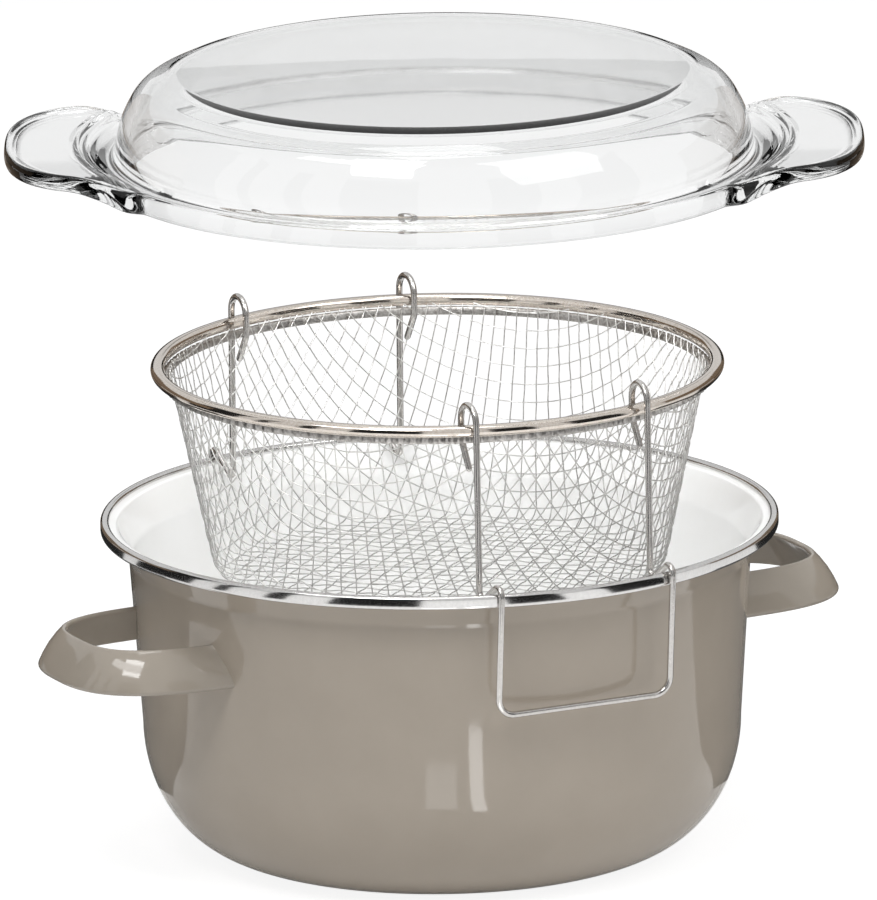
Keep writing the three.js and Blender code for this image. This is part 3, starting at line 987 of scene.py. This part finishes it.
def lid_surface():
    """Spokes by stations: over the dome, along the flange to its edge, and back underneath."""
    angle = spoke_angles()
    edge = tab_outline(angle)
    rise = ease((edge - FLANGE) / TAB_EDGE_CLIMB)
    share = np.linspace(0, 1, TOP_STEPS)[None]
    inner = DOME_FOOT + FOOT_OUT
    reach_top = inner + (edge - EDGE_ROUND - inner) * share
    lip = ease(1 - (edge - EDGE_ROUND - reach_top) / LIP_WIDTH)
    neck_end = FLANGE + GROOVE_COUNT * GROOVE_PITCH
    in_neck = ease((reach_top - FLANGE) / GROOVE_EASE) * ease((neck_end - reach_top) / GROOVE_EASE)
    groove = in_neck * ease((edge - reach_top - LIP_WIDTH) / LIP_WIDTH)
    wave = np.sin(2 * math.pi * (reach_top - FLANGE) / GROOVE_PITCH)
    climb = ease((reach_top - inner) / TAB_CLIMB) * rise
    height_top = FLANGE_TOP + (TAB_TOP - FLANGE_TOP) * climb
    height_top = height_top + LIP_RISE * rise * lip + GROOVE_DEPTH * groove * wave
    back = np.linspace(0, 1, UNDER_STEPS)[None]
    reach_low = (edge - EDGE_ROUND) + (DOME_FOOT - GLASS + UNDER_OUT - edge + EDGE_ROUND) * back
    height_low = TAB_LIFT * rise * ease((reach_low - FLANGE + TAB_UNDERCUT) / TAB_CLIMB)
    tip = np.linspace(math.pi / 2, -math.pi / 2, TIP_STEPS)[1:-1][None]
    reach_tip = edge - EDGE_ROUND + EDGE_ROUND * np.cos(tip) ** EDGE_FULLNESS
    low_edge = height_low[:, :1]
    high_edge = height_top[:, -1:]
    height_tip = (high_edge + low_edge) / 2 + (high_edge - low_edge) / 2 * np.sin(tip)
    over, under = dome()
    full = np.ones((LID_SIDES, 1))
    radius = np.concatenate([full * over[:, 0], reach_top, reach_tip, reach_low, full * under[:, 0]], 1)
    height = np.concatenate([full * over[:, 1], height_top, height_tip, height_low, full * under[:, 1]], 1)
    points = np.stack([radius * np.cos(angle), radius * np.sin(angle), height + LID_BASE], -1)
    return points, radius.shape[1]


lid_points, lid_columns = lid_surface()
lid = make_piece("pressed_glass_lid", turn_about_z(lid_points, LID_TURN),
                 grid_faces(LID_SIDES, lid_columns, True, False),
                 "lid", ["glass_lid"], lid_glass, sharp=LID_SHARP)
# Clear glass lets light through, while a plain shadow would stop it
lid.visible_shadow = False

# %% [markdown]
# ## The white world
# The background is white where it is looked at, straight or through the glass, and softer as light. A light
# path tells the two kinds of ray apart.

# %% World
WHITE_RAYS = ("Is Camera Ray", "Is Transmission Ray")
WORLD_LIGHT = 0.4
WORLD_MIRRORED = 0.75


def white_where_seen(nodes, links, shader, path, output, plain):
    """Mix a plain shader with a white one for rays that see the background straight or through glass."""
    seen = nodes.new("ShaderNodeMath")
    seen.operation = "MAXIMUM"
    for slot, ray in enumerate(WHITE_RAYS):
        links.new(path.outputs[ray], seen.inputs[slot])
    mix = nodes.new("ShaderNodeMixShader")
    links.new(seen.outputs[0], mix.inputs[0])
    links.new(plain, mix.inputs[1])
    links.new(shader, mix.inputs[2])
    links.new(mix.outputs[0], output)


def studio_world():
    """White to look at, a softer white as light, and a light grey in mirrors."""
    world = bpy.data.worlds.new("studio")
    bpy.context.scene.world = world
    world.use_nodes = True
    nodes = world.node_tree.nodes
    links = world.node_tree.links
    path = nodes.new("ShaderNodeLightPath")
    plain = nodes["Background"]
    plain.inputs["Color"].default_value = (1, 1, 1, 1)
    level = nodes.new("ShaderNodeMath")
    level.operation = "MULTIPLY_ADD"
    level.inputs[1].default_value = WORLD_MIRRORED - WORLD_LIGHT
    level.inputs[2].default_value = WORLD_LIGHT
    links.new(path.outputs["Is Glossy Ray"], level.inputs[0])
    links.new(level.outputs[0], plain.inputs["Strength"])
    white = nodes.new("ShaderNodeBackground")
    white.inputs["Color"].default_value = (1, 1, 1, 1)
    white.inputs["Strength"].default_value = 1
    output = nodes["World Output"].inputs["Surface"]
    white_where_seen(nodes, links, white.outputs[0], path, output, plain.outputs[0])


studio_world()
print("world:", bpy.context.scene.world.name)

# %% [markdown]
# ## The floor
# The floor is nearly white where it is looked at. It keeps a little shading of its own, so the pot's shadow
# stays.

# %% Floor
FLOOR_SEEN = (0.22, 0.88)
FLOOR_BOUNCE = (0.9, 0.1)
FLOOR_SIZE = 30
FLOOR_LEVEL = -0.0005


def show(name, mesh, material, mirrored_only=False):
    """Place a mesh that isn't part of the object; a mirrored card shows only in glossy surfaces."""
    mesh.materials.append(material)
    card = bpy.data.objects.new(name, mesh)
    bpy.context.collection.objects.link(card)
    card.visible_camera = not mirrored_only
    card.visible_shadow = not mirrored_only
    card.visible_diffuse = not mirrored_only
    card.visible_transmission = not mirrored_only


def floor_finish():
    """A pale floor that keeps a soft shadow: it is seen as nearly white and bounces light as plain white."""
    material = bpy.data.materials.new("pale_floor")
    material.use_nodes = True
    nodes = material.node_tree.nodes
    links = material.node_tree.links
    nodes.remove(nodes["Principled BSDF"])
    blends = []
    for grey, strength in (FLOOR_SEEN, FLOOR_BOUNCE):
        diffuse = nodes.new("ShaderNodeBsdfDiffuse")
        diffuse.inputs["Color"].default_value = (grey, grey, grey, 1)
        glow = nodes.new("ShaderNodeEmission")
        glow.inputs["Strength"].default_value = strength
        both = nodes.new("ShaderNodeAddShader")
        links.new(diffuse.outputs[0], both.inputs[0])
        links.new(glow.outputs[0], both.inputs[1])
        blends.append(both.outputs[0])
    path = nodes.new("ShaderNodeLightPath")
    output = nodes["Material Output"].inputs["Surface"]
    white_where_seen(nodes, links, blends[0], path, output, blends[1])
    return material


def floor_plane(size, height):
    """A large level square."""
    half = size / 2
    mesh = bpy.data.meshes.new("floor")
    corners = [(-half, -half, height), (half, -half, height), (half, half, height), (-half, half, height)]
    mesh.from_pydata(corners, [], [(0, 1, 2, 3)])
    show("floor", mesh, floor_finish())


floor_plane(FLOOR_SIZE, FLOOR_LEVEL)
print("floor is", FLOOR_SIZE, "m wide")

# %% [markdown]
# ## Cards to mirror
# Bright metal, enamel and glass look like what stands round them. Bent cards that show only in mirrors stand
# in for a room: dark ones make the dashes along the rim band, brown ones tint the ends of the basket's ring,
# a grey one shades the lid's flat top, and small bright ones make glints on the enamel.

# %% Cards
ROOM = 2
ON_FLOOR = 0.001
CARD_STEPS = 17
DARK_SECTORS = ((-114, -84), (-74, -69), (-55, -48), (-34, -6), (20, 38), (53, 77))
DARK_FLOOR_START = 0.48
DARK_WALL_TOP = 1.6
BROWN_WALL = ROOM - 0.1


def card_finish(name, strength, colour=(1, 1, 1)):
    """A card that gives off an even light of its own, whatever lights it."""
    material = bpy.data.materials.new(name)
    material.use_nodes = True
    nodes = material.node_tree.nodes
    nodes.remove(nodes["Principled BSDF"])
    glow = nodes.new("ShaderNodeEmission")
    glow.inputs["Color"].default_value = (*colour, 1)
    glow.inputs["Strength"].default_value = strength
    material.node_tree.links.new(glow.outputs[0], nodes["Material Output"].inputs["Surface"])
    return material


def arc_card(name, start, stop, first, last, material):
    """A bent card between two arcs, each (distance, height), that shows only in glossy surfaces."""
    turn = VIEW_AZIMUTH + np.radians(np.linspace(start, stop, CARD_STEPS))
    spots = [np.stack([away * np.sin(turn), -away * np.cos(turn), np.full(CARD_STEPS, height)], 1)
             for away, height in (first, last)]
    mesh = bpy.data.meshes.new(name)
    mesh.from_pydata(np.concatenate(spots).tolist(), [], grid_faces(2, CARD_STEPS, False, False).tolist())
    show(name, mesh, material, True)


dark_card = card_finish("dark_card", strength=0.02)
dim_card = card_finish("dim_card", strength=0.12)
back_card = card_finish("back_card", strength=0.33)
brown_card = card_finish("brown_card", strength=1, colour=(0.2, 0.152, 0.112))
glint_card = card_finish("glint_card", strength=6)
soft_glint_card = card_finish("soft_glint_card", strength=2.6)
for number, (start, stop) in enumerate(DARK_SECTORS):
    arc_card(f"dark_floor_{number}", start, stop, (DARK_FLOOR_START, ON_FLOOR), (ROOM, ON_FLOOR), dark_card)
    arc_card(f"dark_wall_{number}", start, stop, (ROOM, 0), (ROOM, DARK_WALL_TOP), dark_card)
# Each row: name, two azimuths in degrees from the camera to its right, two arcs in metres, and the finish
for row in (
    ("dark_floor_back", 124, 236, (0.42, ON_FLOOR), (0.72, ON_FLOOR), dark_card),
    ("brown_floor_back", 124, 236, (0.72, ON_FLOOR), (ROOM, ON_FLOOR), brown_card),
    ("low_back_wall", 140, 220, (ROOM, 0), (ROOM, 0.5), dark_card),
    ("back_wall", 174, 186, (ROOM, 0.76), (ROOM, 0.98), back_card),
    ("dim_floor_left", -160, -95, (0.14, ON_FLOOR), (0.42, ON_FLOOR), dim_card),
    ("dim_floor_right", 95, 160, (0.14, ON_FLOOR), (0.42, ON_FLOOR), dim_card),
    ("brown_wall_left", -160, -100, (BROWN_WALL, 0.1), (BROWN_WALL, 0.85), brown_card),
    ("brown_wall_right", 100, 160, (BROWN_WALL, 0.1), (BROWN_WALL, 0.85), brown_card),
    ("front_glint", 8, 12, (0.19, ON_FLOOR), (0.31, ON_FLOOR), glint_card),
    ("window_glint", -62, -8, (0.95, 1.5), (1.15, 1.35), glint_card),
    ("front_soft_glint", -5, 4, (0.2, ON_FLOOR), (0.28, ON_FLOOR), soft_glint_card),
):
    arc_card(*row)
print("dark sectors:", len(DARK_SECTORS))

# %% [markdown]
# ## Lamps
# Three large soft lamps light the pot: a key lamp from the left, a fill lamp from the right and one from
# above. The fill lamp is kept out of mirrors, so that it adds light without a bright patch of its own.

# %% Lamps
LAMP_AIM = 0.12


def around(azimuth, elevation, distance):
    """A place seen from the pot: azimuth is counted from the camera to its right, both angles in degrees."""
    turn = VIEW_AZIMUTH + math.radians(azimuth)
    climb = math.radians(elevation)
    return (distance * math.cos(climb) * math.sin(turn), -distance * math.cos(climb) * math.cos(turn),
            LAMP_AIM + distance * math.sin(climb))


def soft_lamp(name, place, size, power):
    """A large square lamp aimed at the pot's middle."""
    data = bpy.data.lights.new(name, "AREA")
    data.size = size
    data.energy = power
    lamp = bpy.data.objects.new(name, data)
    bpy.context.collection.objects.link(lamp)
    lamp.location = place
    away = np.array(place, float) - np.array([0, 0, LAMP_AIM])
    flat = math.hypot(away[0], away[1])
    lamp.rotation_euler = (math.atan2(flat, away[2]), 0, math.atan2(away[0], -away[1]))
    return lamp


soft_lamp("key_lamp", around(-22, 52, 1.7), size=0.55, power=11)
fill = soft_lamp("fill_lamp", around(50, 46, 1.6), size=0.9, power=8.5)
fill.visible_glossy = False
soft_lamp("top_lamp", (0, 0, 2.2), size=0.8, power=7.6)
print("lamps:", len(bpy.data.lights))

# %% [markdown]
# ## The end

# %% The end
print("scene built")
